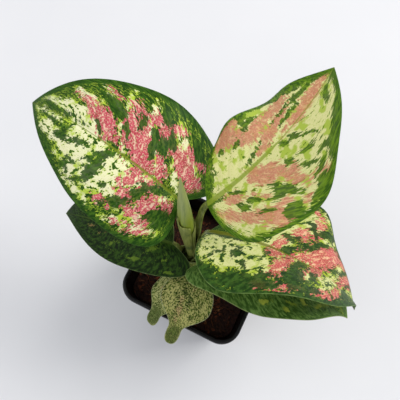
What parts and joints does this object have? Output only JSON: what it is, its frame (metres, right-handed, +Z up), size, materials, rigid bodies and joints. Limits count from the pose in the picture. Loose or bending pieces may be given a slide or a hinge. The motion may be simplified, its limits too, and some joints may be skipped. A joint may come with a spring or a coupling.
{
  "type": "potted chinese evergreen",
  "caption": "Young Chinese evergreen with pink, cream and green variegated leaves in a square black nursery pot of soil",
  "frame": {"origin": "centre of the pot's floor, on the plane the pot stands on", "axes": "+Z up; X and Y run along the pot's sides; the two small leaves hang over the pot's -Y side"},
  "size_m": [0.2091, 0.1316, 0.2233],
  "materials": {
    "black_plastic": "satin black moulded plastic",
    "potting_soil": "moist crumbly coir and peat mix",
    "coir_chip": "dry fibrous husk",
    "stem_green": "smooth waxy green",
    "petiole_green": "smooth waxy green",
    "new_leaf_green": "satin pale olive green",
    "blade_small_left": "satin leaf, green with pale flecks",
    "blade_small_front": "satin leaf, green with pale flecks",
    "blade_lower_left": "satin leaf, green with pale flecks",
    "blade_lower_right": "satin leaf, green with pale flecks",
    "blade_right": "satin variegated leaf, green margin with cream and pink fields",
    "blade_back_right": "satin variegated leaf, green margin with cream and pink fields",
    "blade_back_left": "satin variegated leaf, green margin with cream and pink fields"
  },
  "bodies": {
    "root": {"pot": "black_plastic", "soil": "potting_soil", "coir_chip_1": "coir_chip", "coir_chip_2": "coir_chip", "coir_chip_3": "coir_chip", "coir_chip_4": "coir_chip", "coir_chip_5": "coir_chip", "coir_chip_6": "coir_chip", "stem": "stem_green", "new_leaf_rolled": "new_leaf_green", "blade_small_left": "blade_small_left", "blade_small_front": "blade_small_front", "blade_lower_left": "blade_lower_left", "blade_lower_right": "blade_lower_right", "blade_right": "blade_right", "blade_back_right": "blade_back_right", "blade_back_left": "blade_back_left", "petiole_small_left": "petiole_green", "petiole_small_front": "petiole_green", "petiole_lower_left": "petiole_green", "petiole_lower_right": "petiole_green", "petiole_right": "petiole_green", "petiole_back_right": "petiole_green", "petiole_back_left": "petiole_green"}
  },
  "joints": []
}
